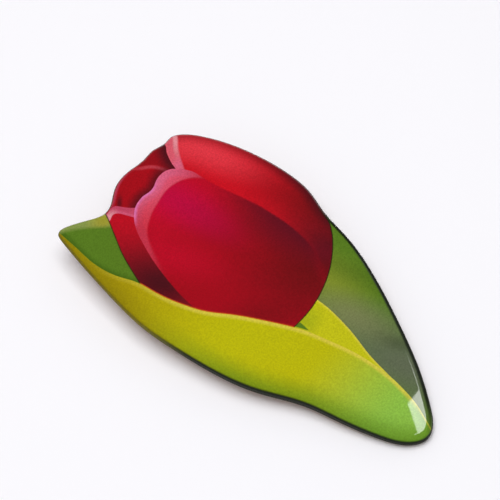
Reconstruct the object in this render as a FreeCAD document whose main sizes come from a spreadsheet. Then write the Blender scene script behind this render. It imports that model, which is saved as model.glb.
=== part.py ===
import FreeCAD, Part

import math
import os

import Sketcher
from FreeCAD import Vector

# A lacquered wooden brooch in the outline of a tulip, with its bar pin fitting on the back.
# +Z is the painted front and +Y runs from the stem tip to the head. The back of the board is level.
# The origin is under the middle of the board, level with the bottom of the catch ring.

# Driving sizes in millimetres, and angles in degrees, with what each of them is
SIZES = {
    "board_length": (85.0, "stem tip to leaf tip"),
    "board_width": (45.4, "across the bloom and the front leaf"),
    "board_thickness": (3.8, "back of the board to the crown of the lacquer"),
    "crown_radius_across": (350.0, "how the front is rounded across the board"),
    "crown_radius_along": (900.0, "how the front is rounded along the board"),
    "edge_round": (1.0, "rounding of the front edge over the lacquer"),
    "back_round": (0.6, "rounding of the bare back edge"),
    "coat_thickness": (0.35, "paint and clear lacquer together"),
    "coat_start": (0.75, "where the lacquer ends on the side, above the back"),
    "bar_length": (30.0, "strip of the fitting"),
    "bar_width": (5.0, "strip of the fitting"),
    "bar_thickness": (0.7, "strip of the fitting"),
    "bar_place": (14.0, "line of the fitting, towards the head from the middle"),
    "bar_hole_inset": (7.5, "screw hole, from its end of the strip"),
    "bar_edge_bevel": (0.2, "worn edge of the stamped strip"),
    "pin_drop": (2.3, "face of the strip to the line of the pin"),
    "pin_radius": (0.42, "steel wire along its straight part"),
    "eye_radius": (1.35, "flattened end of the wire, pierced for the rivet"),
    "eye_thickness": (0.6, "flattened end of the wire"),
    "eye_bevel": (0.1, "worn edge of the flattened end"),
    "pin_neck": (2.2, "rivet to where the wire is full and round"),
    "pin_overhang": (0.9, "point of the pin past the ring"),
    "pin_taper": (5.0, "ground point of the pin"),
    "pin_tip_radius": (0.08, "end of the ground point"),
    "hinge_inset": (2.1, "rivet, from its end of the strip"),
    "rivet_radius": (0.4, "shank of the rivet"),
    "rivet_head_radius": (0.72, "both heads of the rivet"),
    "rivet_head_height": (0.28, "both heads of the rivet"),
    "rivet_fit": (0.02, "gap round the rivet in its ears"),
    "running_fit": (0.05, "gap round a shaft that turns"),
    "ear_thickness": (0.5, "folded bracket of the hinge"),
    "ear_gap": (0.15, "each side of the eye, between the ears"),
    "ear_round": (1.5, "rounded end of an ear about the rivet"),
    "ear_length": (3.4, "bracket along the strip"),
    "fold_round": (0.45, "outside of the bracket's folds"),
    "catch_inset": (3.0, "middle of the ring, from its end of the strip"),
    "ring_radius": (1.8, "outside of the catch ring"),
    "ring_wall": (0.45, "sheet of the catch ring"),
    "ring_length": (3.6, "ring along the pin"),
    "foot_width": (2.8, "foot of the ring on the strip"),
    "foot_thickness": (0.35, "foot of the ring on the strip"),
    "foot_neck": (1.8, "narrow part between the foot and the ring"),
    "mouth_width": (1.1, "gap where the pin enters the ring"),
    "window_gap": (0.1, "lever to the window in the ring, each side"),
    "window_spare_turn": (6.0, "degrees of window past the lever at each end of its turn"),
    "rotor_bore": (0.68, "radius of the bore of the locking sleeve"),
    "slot_width": (1.04, "gap where the pin enters the sleeve"),
    "lever_width": (1.1, "thumb lever along the pin"),
    "lever_thickness": (0.55, "thumb lever"),
    "lever_reach": (2.7, "end of the lever from the line of the pin"),
    "lever_round": (0.4, "rounded corners of the lever's end"),
    "lever_rest_angle": (56.0, "degrees from the mouth to the open lever"),
    "lock_turn": (74.0, "degrees that the lever turns to lock"),
    "screw_radius": (0.5, "shank of a screw"),
    "screw_clearance": (0.04, "gap round a screw in the strip and in its pilot hole"),
    "screw_bite": (2.1, "screw in the wood"),
    "screw_point": (0.7, "pointed end of a screw"),
    "screw_head_radius": (1.05, "round head of a screw"),
    "screw_head_height": (0.6, "round head of a screw"),
    "screw_slot_width": (0.25, "driver slot"),
    "screw_slot_depth": (0.28, "driver slot"),
    "crown_overrun": (0.1, "how far the rounding of the front passes the crown that cuts it"),
    "overrun": (1.0, "how far every cutter passes the wall that it cuts"),
}

# Outline of the painted front, clockwise from the widest place of the bloom past the stem tip, the front
# leaf, the leaf tip and the notch, in shares of the board's width and length
OUTLINE_SHARES = (
    (0.500, 0.176), (0.494, 0.125), (0.461, 0.062), (0.439, -0.017), (0.371, -0.147), (0.267, -0.278),
    (0.178, -0.373), (0.071, -0.460), (0.015, -0.491), (-0.038, -0.500), (-0.100, -0.485), (-0.178, -0.419),
    (-0.242, -0.318), (-0.287, -0.238), (-0.384, -0.130), (-0.445, -0.026), (-0.483, 0.088), (-0.500, 0.170),
    (-0.489, 0.295), (-0.469, 0.389), (-0.449, 0.460), (-0.440, 0.486), (-0.432, 0.496), (-0.414, 0.500),
    (-0.399, 0.498), (-0.351, 0.485), (-0.268, 0.459), (-0.210, 0.450), (-0.165, 0.457), (-0.125, 0.471),
    (-0.086, 0.482), (0.005, 0.488), (0.105, 0.483), (0.158, 0.485), (0.227, 0.477), (0.270, 0.478),
    (0.308, 0.467), (0.366, 0.428), (0.427, 0.360), (0.489, 0.235),
)
# Where a rim is split into edges, as shares of its run
RIM_SPLIT_SHARES = (0.0, 0.125, 0.25, 0.375, 0.5, 0.625, 0.75, 0.875, 1.0)
# Places round a rounded edge, as shares of a quarter turn from the side wall
ROUND_STEP_SHARES = (0.0, 0.33, 0.66)
# Where the sides of the window stand between its two ends, as shares of its turn
WINDOW_CORNER_SHARES = (0.0, 0.5, 1.0)
# Profile of a rivet head from the ear outwards, in shares of its radius and height
RIVET_HEAD_SHARES = ((1.0, 0.0), (1.0, 0.35), (0.72, 1.0))
# Profile of a screw's round head from its middle to its edge, in shares of its radius and height
SCREW_HEAD_SHARES = ((0.0, 1.0), (0.55, 0.9), (0.9, 0.5), (1.0, 0.0))

# Heights and lengths that follow from the driving sizes
BACK_HEIGHT = "(sizes.bar_thickness + sizes.pin_drop + sizes.ring_radius)"
STRIP_HEIGHT = "(sizes.pin_drop + sizes.ring_radius)"
PIN_HEIGHT = "sizes.ring_radius"
CROWN_HEIGHT = f"({BACK_HEIGHT} + sizes.board_thickness)"
EYE_HALF = "(sizes.eye_thickness / 2 + sizes.ear_gap)"
EAR_HALF = "(sizes.eye_thickness / 2 + sizes.ear_gap + sizes.ear_thickness)"
EYE_BORE = "(sizes.rivet_radius + sizes.running_fit)"
NECK_ROOT = f"({EYE_BORE} + sizes.eye_radius) / 2"
RING_BORE = "(sizes.ring_radius - sizes.ring_wall)"
ROTOR_RADIUS = "(sizes.ring_radius - sizes.ring_wall - sizes.running_fit)"
HINGE_PLACE = "(sizes.bar_length / 2 - sizes.hinge_inset)"
CATCH_PLACE = "(sizes.bar_length / 2 - sizes.catch_inset)"
HOLE_PLACE = "(sizes.bar_length / 2 - sizes.bar_hole_inset)"
PIN_END = f"({HINGE_PLACE} + {CATCH_PLACE} + sizes.ring_length / 2 + sizes.pin_overhang)"

doc = FreeCAD.newDocument("tulip_brooch")
sheet = doc.addObject("Spreadsheet::Sheet", "sizes")
cut_pairs = []


def fill_sheet():
    """One row for each driving size: its name, its value and what it is."""
    for row, (alias, (value, meaning)) in enumerate(SIZES.items(), start=1):
        sheet.set(f"A{row}", alias)
        sheet.set(f"B{row}", str(value))
        sheet.set(f"C{row}", meaning)
        sheet.setAlias(f"B{row}", alias)
    doc.recompute()


def size(alias):
    """The value that the sheet holds under a name."""
    return float(sheet.get(alias))


def bind(thing, **expressions):
    """Ties properties of an object to the sheet."""
    for name, expression in expressions.items():
        thing.setExpression(name, expression)
    return thing


def place(thing, across="0", along="0", up="0"):
    """Ties the place of an object to the sheet."""
    thing.setExpression(".Placement.Base.x", across)
    thing.setExpression(".Placement.Base.y", along)
    thing.setExpression(".Placement.Base.z", up)
    return thing


def origin_plane(body, role):
    """One of the three planes of a body's own origin."""
    return next(item for item in body.Origin.OriginFeatures if item.Role == role)


def new_body(label):
    """A body whose label names its file."""
    body = doc.addObject("PartDesign::Body", label)
    body.Label = label
    return body


def new_sketch(body, name, role):
    """A sketch on one of the body's own planes."""
    sketch = body.newObject("Sketcher::SketchObject", name)
    sketch.AttachmentSupport = [(origin_plane(body, role), "")]
    sketch.MapMode = "FlatFace"
    return sketch


def hold(sketch, name, constraint, expression):
    """Adds one named constraint to a sketch and ties it to the sheet."""
    index = sketch.addConstraint(constraint)
    sketch.renameConstraint(index, name)
    sketch.setExpression(f"Constraints.{name}", expression)


def draw_circle(sketch, name, radius, across=None):
    """A circle on the sketch's origin, or at a distance along its first axis."""
    first = size("pin_radius")
    start = Vector(first, 0, 0) if across else Vector(0, 0, 0)
    circle = sketch.addGeometry(Part.Circle(start, Vector(0, 0, 1), first))
    hold(sketch, f"{name}_radius", Sketcher.Constraint("Radius", circle, first), radius)
    if across is None:
        sketch.addConstraint(Sketcher.Constraint("Coincident", circle, 3, -1, 1))
        return
    sketch.addConstraint(Sketcher.Constraint("PointOnObject", circle, 3, -1))
    hold(sketch, f"{name}_across", Sketcher.Constraint("DistanceX", -1, 1, circle, 3, first), across)


def draw_polygon(sketch, name, corners):
    """A closed outline through corners, each one a pair of expressions tied to the sheet."""
    points = [Vector(value_of(across), value_of(up), 0) for across, up in corners]
    count = len(points)
    lines = [
        sketch.addGeometry(Part.LineSegment(points[i], points[(i + 1) % count])) for i in range(count)
    ]
    for i, line in enumerate(lines):
        sketch.addConstraint(Sketcher.Constraint("Coincident", line, 2, lines[(i + 1) % count], 1))
        fix_point(sketch, f"{name}_{i}", line, 1, points[i], corners[i])


def fix_point(sketch, name, line, end, point, corner):
    """Ties both coordinates of one end of a line to the sheet."""
    across, up = corner
    hold(sketch, f"{name}_across", Sketcher.Constraint("DistanceX", -1, 1, line, end, point.x), across)
    hold(sketch, f"{name}_up", Sketcher.Constraint("DistanceY", -1, 1, line, end, point.y), up)


def value_of(expression):
    """What an expression over the sheet comes to."""
    return float(sheet.evalExpression(expression))


def pad(body, sketch, name, length, midplane=False, downwards=False):
    """Raises a sketch to a length taken from the sheet."""
    feature = body.newObject("PartDesign::Pad", name)
    feature.Profile = sketch
    feature.Midplane = midplane
    feature.Reversed = downwards
    bind(feature, Length=length)
    doc.recompute()
    return feature


def pocket(body, sketch, name, length):
    """Cuts a sketch out of the body to both sides, and keeps the two volumes to be compared."""
    before = body.Tip
    feature = body.newObject("PartDesign::Pocket", name)
    feature.Profile = sketch
    feature.Midplane = True
    bind(feature, Length=length)
    doc.recompute()
    cut_pairs.append((before, feature))
    return feature


def revolve(body, sketch, name, axis):
    """Turns a sketch fully round one of its own axes."""
    feature = body.newObject("PartDesign::Revolution", name)
    feature.Profile = sketch
    feature.ReferenceAxis = (sketch, [axis])
    doc.recompute()
    return feature


def dress_edges(body, kind, name, wanted, **expressions):
    """Rounds or bevels the edges of a body's last feature that a test picks."""
    base = body.Tip
    names = [f"Edge{i}" for i, edge in enumerate(base.Shape.Edges, start=1) if wanted(edge)]
    if not names:
        raise RuntimeError(f"no edge for {name}")
    feature = body.newObject(kind, name)
    feature.Base = (base, names)
    bind(feature, **expressions)
    doc.recompute()
    return feature


def outline_points(inset):
    """The outline of the board, moved in by an inset along its own normals."""
    points = [
        Vector(across * size("board_width"), along * size("board_length"), 0)
        for across, along in OUTLINE_SHARES
    ]
    curve = Part.BSplineCurve()
    curve.interpolate(Points=points, PeriodicFlag=True)
    moved = []
    for point in points:
        direction = curve.tangent(curve.parameter(point))[0]
        moved.append(point + Vector(direction.y, -direction.x, 0) * inset)
    return moved


def crown_height(point, inset):
    """How high the rounded front stands over a point of the plan, less an inset."""
    fall = point.x ** 2 / size("crown_radius_across") + point.y ** 2 / size("crown_radius_along")
    return value_of(CROWN_HEIGHT) - inset - fall / 2


def ring(name, inset, height):
    """One closed rim of the board. Its height is a function of the place."""
    points = [Vector(point.x, point.y, height(point)) for point in outline_points(inset)]
    curve = Part.BSplineCurve()
    curve.interpolate(Points=points, PeriodicFlag=True)
    first = curve.FirstParameter
    last = curve.LastParameter
    bounds = [first + share * (last - first) for share in RIM_SPLIT_SHARES]
    rim = doc.addObject("Part::Feature", name)
    rim.Shape = Part.Wire([curve.toShape(start, end) for start, end in zip(bounds, bounds[1:])])
    return rim


def front_rings(name, inset):
    """Rims from the side wall over the rounding of the front, the last one above the crown."""
    radius = size("edge_round") - inset
    rings = []
    for step, share in enumerate(ROUND_STEP_SHARES):
        turn = share * math.pi / 2
        drop = radius * (1 - math.sin(turn))
        rings.append(
            ring(
                f"{name}_front_{step}", inset + radius * (1 - math.cos(turn)),
                lambda point, drop=drop: crown_height(point, inset) - drop,
            )
        )
    lift = size("crown_overrun")
    run = (drop + lift) * math.tan(turn)
    last = inset + radius * (1 - math.cos(turn)) + run
    rings.append(ring(f"{name}_front_end", last, lambda point: crown_height(point, inset) + lift))
    top = value_of(f"{CROWN_HEIGHT} + sizes.overrun")
    rings.append(ring(f"{name}_front_top", last, lambda point: top))
    return rings


def back_rings(name, inset):
    """Rims over the rounding of the back, from the back plane to the side wall."""
    radius = size("back_round")
    back = value_of(BACK_HEIGHT)
    rings = [ring(f"{name}_back_start", inset + radius, lambda point: back)]
    for step, share in enumerate(reversed(ROUND_STEP_SHARES)):
        turn = share * math.pi / 2
        height = back + radius * (1 - math.sin(turn))
        rings.append(
            ring(
                f"{name}_back_{step}", inset + radius * (1 - math.cos(turn)),
                lambda point, height=height: height,
            )
        )
    return rings


def loft(name, rings):
    """A solid through closed rims."""
    feature = doc.addObject("Part::Loft", name)
    feature.Sections = rings
    feature.Solid = True
    feature.Ruled = True
    doc.recompute()
    return feature


def crown(name, inset):
    """A block under the rounded front: a patch of second degree, flatter along the board than across it."""
    half_width = size("board_width") / 2 + size("overrun")
    half_length = size("board_length") / 2 + size("overrun")
    fall_across = half_width ** 2 / size("crown_radius_across") / 2
    fall_along = half_length ** 2 / size("crown_radius_along") / 2
    top = value_of(CROWN_HEIGHT) - inset
    patch = Part.BezierSurface()
    patch.increase(2, 2)
    for i, across in enumerate((-1, 0, 1), start=1):
        for j, along in enumerate((-1, 0, 1), start=1):
            rise = fall_across * (1 - 2 * abs(across)) + fall_along * (1 - 2 * abs(along))
            patch.setPole(i, j, Vector(across * half_width, along * half_length, top + rise))
    block = doc.addObject("Part::Feature", name)
    block.Shape = patch.toShape().extrude(Vector(0, 0, -size("board_thickness") - size("overrun")))
    return block


def common(name, first, second):
    """What two solids share."""
    feature = doc.addObject("Part::Common", name)
    feature.Base = first
    feature.Tool = second
    doc.recompute()
    return feature


def cut(name, base, tool):
    """One solid less another."""
    feature = doc.addObject("Part::Cut", name)
    feature.Base = base
    feature.Tool = tool
    doc.recompute()
    return feature


def make_board():
    """The bare board, and the coat of paint and lacquer over its front and sides."""
    coat = size("coat_thickness")
    inner = loft("board_loft", back_rings("board", coat) + front_rings("board", coat))
    core = common("board_crowned", inner, crown("board_crown", coat))
    blank = cut("wooden_blank", core, pilot_holes())
    blank.Label = "wooden_blank"

    start = value_of(f"{BACK_HEIGHT} + sizes.coat_start")
    rim = ring("coat_rim", 0, lambda point: start)
    outer = loft("coat_loft", [rim] + front_rings("coat", 0))
    skin = common("coat_crowned", outer, crown("coat_crown", 0))
    shell = cut("lacquer_coat", skin, core)
    shell.Label = "lacquer_coat"
    return [blank, shell]


def pilot_holes():
    """The two holes that the screws bite in."""
    holes = []
    for name, side in (("hinge_end_hole", "-1"), ("catch_end_hole", "1")):
        hole = doc.addObject("Part::Cylinder", name)
        bind(
            hole,
            Radius="sizes.screw_radius + sizes.screw_clearance",
            Height="sizes.screw_bite + sizes.screw_clearance + sizes.overrun",
        )
        place(hole, f"{side} * {HOLE_PLACE}", "sizes.bar_place", f"{BACK_HEIGHT} - sizes.overrun")
        holes.append(hole)
    pair = doc.addObject("Part::MultiFuse", "pilot_holes")
    pair.Shapes = holes
    doc.recompute()
    return pair


def make_base_bar():
    """The stamped strip with round ends: two holes take the screws, and the middle one stays open."""
    body = new_body("base_bar")
    sketch = new_sketch(body, "bar_outline", "XY_Plane")
    half_run = value_of("sizes.bar_length / 2 - sizes.bar_width / 2")
    half_width = size("bar_width") / 2
    quarter = math.pi / 2
    right_circle = Part.Circle(Vector(half_run, 0, 0), Vector(0, 0, 1), half_width)
    left_circle = Part.Circle(Vector(-half_run, 0, 0), Vector(0, 0, 1), half_width)
    right = sketch.addGeometry(Part.ArcOfCircle(right_circle, -quarter, quarter))
    top = sketch.addGeometry(
        Part.LineSegment(Vector(half_run, half_width, 0), Vector(-half_run, half_width, 0))
    )
    left = sketch.addGeometry(Part.ArcOfCircle(left_circle, quarter, 3 * quarter))
    bottom = sketch.addGeometry(
        Part.LineSegment(Vector(-half_run, -half_width, 0), Vector(half_run, -half_width, 0))
    )
    for first, first_end, second, second_end in (
        (right, 2, top, 1), (top, 2, left, 1), (left, 2, bottom, 1), (bottom, 2, right, 1),
    ):
        sketch.addConstraint(Sketcher.Constraint("Tangent", first, first_end, second, second_end))
    sketch.addConstraint(Sketcher.Constraint("Equal", right, left))
    sketch.addConstraint(Sketcher.Constraint("PointOnObject", right, 3, -1))
    sketch.addConstraint(Sketcher.Constraint("Symmetric", left, 3, right, 3, -1, 1))
    hold(sketch, "end_radius", Sketcher.Constraint("Radius", right, half_width), "sizes.bar_width / 2")
    hold(
        sketch, "run",
        Sketcher.Constraint("DistanceX", left, 3, right, 3, 2 * half_run),
        "sizes.bar_length - sizes.bar_width",
    )
    pad(body, sketch, "bar_strip", "sizes.bar_thickness")

    holes = new_sketch(body, "bar_hole_circles", "XY_Plane")
    radius = "sizes.screw_radius + sizes.screw_clearance"
    draw_circle(holes, "middle", radius)
    draw_circle(holes, "right", radius, HOLE_PLACE)
    draw_circle(holes, "left", radius, f"-{HOLE_PLACE}")
    pocket(body, holes, "bar_holes", "2 * (sizes.bar_thickness + sizes.overrun)")

    dress_edges(
        body, "PartDesign::Chamfer", "bar_worn_edge",
        lambda edge: edge.BoundBox.ZMax < size("bar_edge_bevel") and edge.Length > size("bar_width"),
        Size="sizes.bar_edge_bevel",
    )
    return place(body, along="sizes.bar_place", up=STRIP_HEIGHT)


def make_hinge_bracket():
    """The sheet folded into a channel, whose two walls are the ears of the hinge."""
    body = new_body("hinge_bracket")
    sketch = new_sketch(body, "channel_profile", "YZ_Plane")
    floor = "sizes.pin_drop - sizes.ear_thickness"
    draw_polygon(
        sketch, "corner",
        (
            (f"-{EAR_HALF}", "sizes.pin_drop"), (f"-{EAR_HALF}", "-sizes.ear_round"),
            (f"-{EYE_HALF}", "-sizes.ear_round"), (f"-{EYE_HALF}", floor),
            (EYE_HALF, floor), (EYE_HALF, "-sizes.ear_round"),
            (EAR_HALF, "-sizes.ear_round"), (EAR_HALF, "sizes.pin_drop"),
        ),
    )
    pad(body, sketch, "channel", "sizes.ear_length", midplane=True)

    top = size("pin_drop")
    bottom = -size("ear_round")
    near = size("rivet_fit")
    dress_edges(
        body, "PartDesign::Fillet", "folds",
        lambda edge: edge.BoundBox.XLength > size("ear_round") and edge.BoundBox.ZMin > top - near
        and abs(edge.BoundBox.Center.y) > value_of(EYE_HALF),
        Radius="sizes.fold_round",
    )
    dress_edges(
        body, "PartDesign::Fillet", "ear_ends",
        lambda edge: edge.BoundBox.YLength > near and edge.BoundBox.ZMax < bottom + near
        and edge.BoundBox.XLength < near,
        Radius="min(sizes.ear_round; sizes.ear_length / 2) - sizes.rivet_fit",
    )
    hole = new_sketch(body, "rivet_hole_circle", "XZ_Plane")
    draw_circle(hole, "rivet", "sizes.rivet_radius + sizes.rivet_fit")
    pocket(body, hole, "rivet_hole", f"2 * ({EAR_HALF} + sizes.overrun)")
    return place(body, f"-{HINGE_PLACE}", "sizes.bar_place", PIN_HEIGHT)


def make_hinge_rivet():
    """The rivet, with a low round head outside each ear."""
    body = new_body("hinge_rivet")
    sketch = new_sketch(body, "rivet_profile", "XY_Plane")
    upper = [("sizes.rivet_radius", EAR_HALF)]
    for across, up in RIVET_HEAD_SHARES:
        upper.append(
            (f"{across} * sizes.rivet_head_radius", f"({EAR_HALF} + {up} * sizes.rivet_head_height)")
        )
    upper.append(("0", f"({EAR_HALF} + sizes.rivet_head_height)"))
    lower = [(across, f"-{up}") for across, up in reversed(upper)]
    draw_polygon(sketch, "corner", lower + upper)
    revolve(body, sketch, "rivet", "V_Axis")
    return place(body, f"-{HINGE_PLACE}", "sizes.bar_place", PIN_HEIGHT)


def make_pin_stem():
    """The wire: flattened and pierced at the rivet, then straight, and ground to a long point."""
    body = new_body("pin_stem")
    eye = new_sketch(body, "eye_circle", "XZ_Plane")
    draw_circle(eye, "eye", "sizes.eye_radius")
    pad(body, eye, "eye", "sizes.eye_thickness", midplane=True)
    bore = new_sketch(body, "eye_bore_circle", "XZ_Plane")
    draw_circle(bore, "bore", EYE_BORE)
    pocket(body, bore, "eye_bore", "sizes.eye_thickness + 2 * sizes.overrun")
    dress_edges(
        body, "PartDesign::Chamfer", "eye_worn_edge",
        lambda edge: edge.BoundBox.ZMax > value_of(NECK_ROOT) and edge.BoundBox.YLength < size("eye_bevel"),
        Size="sizes.eye_bevel",
    )

    shank = new_sketch(body, "shank_profile", "XZ_Plane")
    start = value_of(NECK_ROOT)
    thin = size("eye_thickness") / 2
    neck = size("pin_neck")
    radius = size("pin_radius")
    end = value_of(PIN_END)
    taper = end - size("pin_taper")
    tip = size("pin_tip_radius")
    # The ground point is an arc that leaves the wire smoothly
    sag = radius - tip
    swell = (size("pin_taper") ** 2 + sag ** 2) / (2 * sag)
    centre = Vector(taper, radius - swell, 0)
    rise = math.asin(size("pin_taper") / swell)
    corners = [
        Vector(start, 0, 0), Vector(start, thin, 0), Vector(neck, radius, 0),
        Vector(taper, radius, 0), Vector(end, tip, 0), Vector(end, 0, 0),
    ]
    arc = Part.ArcOfCircle(Part.Circle(centre, Vector(0, 0, 1), swell), math.pi / 2 - rise, math.pi / 2)
    pieces = [
        sketch_line(shank, corners[0], corners[1]), sketch_line(shank, corners[1], corners[2]),
        sketch_line(shank, corners[2], corners[3]), shank.addGeometry(arc),
        sketch_line(shank, corners[4], corners[5]), sketch_line(shank, corners[5], corners[0]),
    ]
    for kind, first, first_end, second, second_end in (
        ("Coincident", pieces[0], 2, pieces[1], 1), ("Coincident", pieces[1], 2, pieces[2], 1),
        ("Tangent", pieces[2], 2, pieces[3], 2), ("Coincident", pieces[3], 1, pieces[4], 1),
        ("Coincident", pieces[4], 2, pieces[5], 1), ("Coincident", pieces[5], 2, pieces[0], 1),
    ):
        shank.addConstraint(Sketcher.Constraint(kind, first, first_end, second, second_end))
    taper_start = f"{PIN_END} - sizes.pin_taper"
    fix_point(shank, "back_low", pieces[0], 1, corners[0], (NECK_ROOT, "0"))
    fix_point(shank, "back_high", pieces[1], 1, corners[1], (NECK_ROOT, "sizes.eye_thickness / 2"))
    fix_point(shank, "neck_end", pieces[2], 1, corners[2], ("sizes.pin_neck", "sizes.pin_radius"))
    fix_point(shank, "taper_start", pieces[2], 2, corners[3], (taper_start, "sizes.pin_radius"))
    fix_point(shank, "end_high", pieces[4], 1, corners[4], (PIN_END, "sizes.pin_tip_radius"))
    fix_point(shank, "end_low", pieces[4], 2, corners[5], (PIN_END, "0"))
    revolve(body, shank, "shank", "H_Axis")
    return place(body, f"-{HINGE_PLACE}", "sizes.bar_place", PIN_HEIGHT)


def sketch_line(sketch, first, second):
    """A line in a sketch."""
    return sketch.addGeometry(Part.LineSegment(first, second))


def make_catch_housing():
    """The open ring on its foot: the pin enters by the mouth, and the lever moves in the window."""
    body = new_body("catch_housing")
    ring = new_sketch(body, "ring_circle", "YZ_Plane")
    draw_circle(ring, "ring", "sizes.ring_radius")
    pad(body, ring, "ring", "sizes.ring_length", midplane=True)

    foot = new_sketch(body, "foot_profile", "YZ_Plane")
    step = "sizes.pin_drop - sizes.foot_thickness"
    draw_polygon(
        foot, "corner",
        (
            ("-sizes.foot_width / 2", "sizes.pin_drop"), ("-sizes.foot_width / 2", step),
            ("-sizes.foot_neck / 2", f"({step} + {RING_BORE}) / 2"), ("-sizes.foot_neck / 2", "0"),
            ("sizes.foot_neck / 2", "0"), ("sizes.foot_neck / 2", f"({step} + {RING_BORE}) / 2"),
            ("sizes.foot_width / 2", step), ("sizes.foot_width / 2", "sizes.pin_drop"),
        ),
    )
    pad(body, foot, "foot", "sizes.ring_length", midplane=True)

    length = "sizes.ring_length + 2 * sizes.overrun"
    bore = new_sketch(body, "bore_circle", "YZ_Plane")
    draw_circle(bore, "bore", RING_BORE)
    pocket(body, bore, "bore", length)

    mouth = new_sketch(body, "mouth_outline", "YZ_Plane")
    draw_slot(mouth, "sizes.mouth_width", "sizes.ring_radius + sizes.overrun")
    pocket(body, mouth, "mouth", length)

    window = new_sketch(body, "window_outline", "YZ_Plane")
    lean = f"(asin(sizes.lever_thickness / 2 / {RING_BORE}) / 1 deg + sizes.window_spare_turn)"
    reach = "(sizes.ring_radius + sizes.overrun)"
    corners = [("0", "0")]
    for share in WINDOW_CORNER_SHARES:
        turn = f"((sizes.lever_rest_angle - {lean} + {share} * (sizes.lock_turn + 2 * {lean})) * 1 deg)"
        corners.append((f"{reach} * sin({turn})", f"-{reach} * cos({turn})"))
    draw_polygon(window, "corner", corners)
    pocket(body, window, "window", "sizes.lever_width + 2 * sizes.window_gap")
    return place(body, CATCH_PLACE, "sizes.bar_place", PIN_HEIGHT)


def draw_slot(sketch, width, reach):
    """A straight gap from the middle of a ring out past its wall, on the side away from the board."""
    draw_polygon(
        sketch, "corner",
        (
            (f"-{width} / 2", "0"), (f"-{width} / 2", f"-({reach})"),
            (f"{width} / 2", f"-({reach})"), (f"{width} / 2", "0"),
        ),
    )


def make_catch_rotor():
    """The slotted sleeve with its thumb lever. At rest its slot faces the mouth, so the pin is free."""
    body = new_body("catch_rotor")
    sleeve = new_sketch(body, "sleeve_circle", "YZ_Plane")
    draw_circle(sleeve, "sleeve", ROTOR_RADIUS)
    pad(body, sleeve, "sleeve", "sizes.ring_length", midplane=True)

    lever = new_sketch(body, "lever_outline", "YZ_Plane")
    lever.setExpression(".AttachmentOffset.Rotation.Angle", "sizes.lever_rest_angle")
    root = f"-(sizes.rotor_bore + {ROTOR_RADIUS}) / 2"
    draw_polygon(
        lever, "corner",
        (
            ("-sizes.lever_thickness / 2", root), ("-sizes.lever_thickness / 2", "-sizes.lever_reach"),
            ("sizes.lever_thickness / 2", "-sizes.lever_reach"), ("sizes.lever_thickness / 2", root),
        ),
    )
    pad(body, lever, "lever", "sizes.lever_width", midplane=True)
    near = size("window_gap")
    dress_edges(
        body, "PartDesign::Fillet", "thumb_end",
        lambda edge: edge.BoundBox.XLength < near
        and math.hypot(edge.BoundBox.Center.y, edge.BoundBox.Center.z) > size("lever_reach") - near,
        Radius="sizes.lever_round",
    )

    length = "sizes.ring_length + 2 * sizes.overrun"
    bore = new_sketch(body, "sleeve_bore_circle", "YZ_Plane")
    draw_circle(bore, "bore", "sizes.rotor_bore")
    pocket(body, bore, "sleeve_bore", length)

    slot = new_sketch(body, "slot_outline", "YZ_Plane")
    draw_slot(slot, "sizes.slot_width", f"{ROTOR_RADIUS} + sizes.overrun")
    pocket(body, slot, "slot", length)
    return place(body, CATCH_PLACE, "sizes.bar_place", PIN_HEIGHT)


def make_screw(label, side):
    """A small round-head wood screw, seated on the strip."""
    body = new_body(label)
    sketch = new_sketch(body, f"{label}_profile", "XZ_Plane")
    shank = "(sizes.bar_thickness + sizes.screw_bite)"
    head = [
        (f"{across} * sizes.screw_head_radius", f"-{up} * sizes.screw_head_height")
        for across, up in SCREW_HEAD_SHARES
    ]
    body_corners = [
        ("sizes.screw_radius", "0"), ("sizes.screw_radius", f"{shank} - sizes.screw_point"), ("0", shank),
    ]
    draw_polygon(sketch, "corner", head + body_corners)
    revolve(body, sketch, f"{label}_turned", "V_Axis")
    slot = new_sketch(body, f"{label}_slot", "XZ_Plane")
    floor = "-(sizes.screw_head_height - sizes.screw_slot_depth)"
    low = "-(sizes.screw_head_height + sizes.overrun)"
    half = "sizes.screw_slot_width / 2"
    draw_polygon(slot, "corner", ((f"-{half}", floor), (f"-{half}", low), (half, low), (half, floor)))
    pocket(body, slot, f"{label}_driver_slot", "2 * (sizes.screw_head_radius + sizes.overrun)")
    return place(body, f"{side} * {HOLE_PLACE}", "sizes.bar_place", STRIP_HEIGHT)


def check_document(parts):
    """Stops on a failed object, an empty or broken shape, or a cut that took nothing away."""
    for thing in doc.Objects:
        if "Invalid" in thing.State or "Error" in thing.State:
            raise RuntimeError(f"{thing.Name} failed: {thing.State}")
    for before, after in cut_pairs:
        if after.Shape.Volume >= before.Shape.Volume:
            raise RuntimeError(f"{after.Name} cut nothing")
    for thing in parts:
        if thing.Shape.isNull() or not thing.Shape.isValid():
            raise RuntimeError(f"{thing.Label} has no valid shape")
        print(f"{thing.Label}: {len(thing.Shape.Solids)} solid, {thing.Shape.Volume:.3f} mm3")


def main():
    """Builds every piece, checks them and writes one file for each."""
    fill_sheet()
    parts = make_board()
    parts += [
        make_base_bar(), make_hinge_bracket(), make_hinge_rivet(), make_pin_stem(),
        make_catch_housing(), make_catch_rotor(),
        make_screw("hinge_end_screw", "-1"), make_screw("catch_end_screw", "1"),
    ]
    doc.recompute()
    check_document(parts)
    os.makedirs("parts", exist_ok=True)
    for thing in parts:
        thing.Shape.exportStep(f"parts/{thing.Label}.step")


main()
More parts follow.
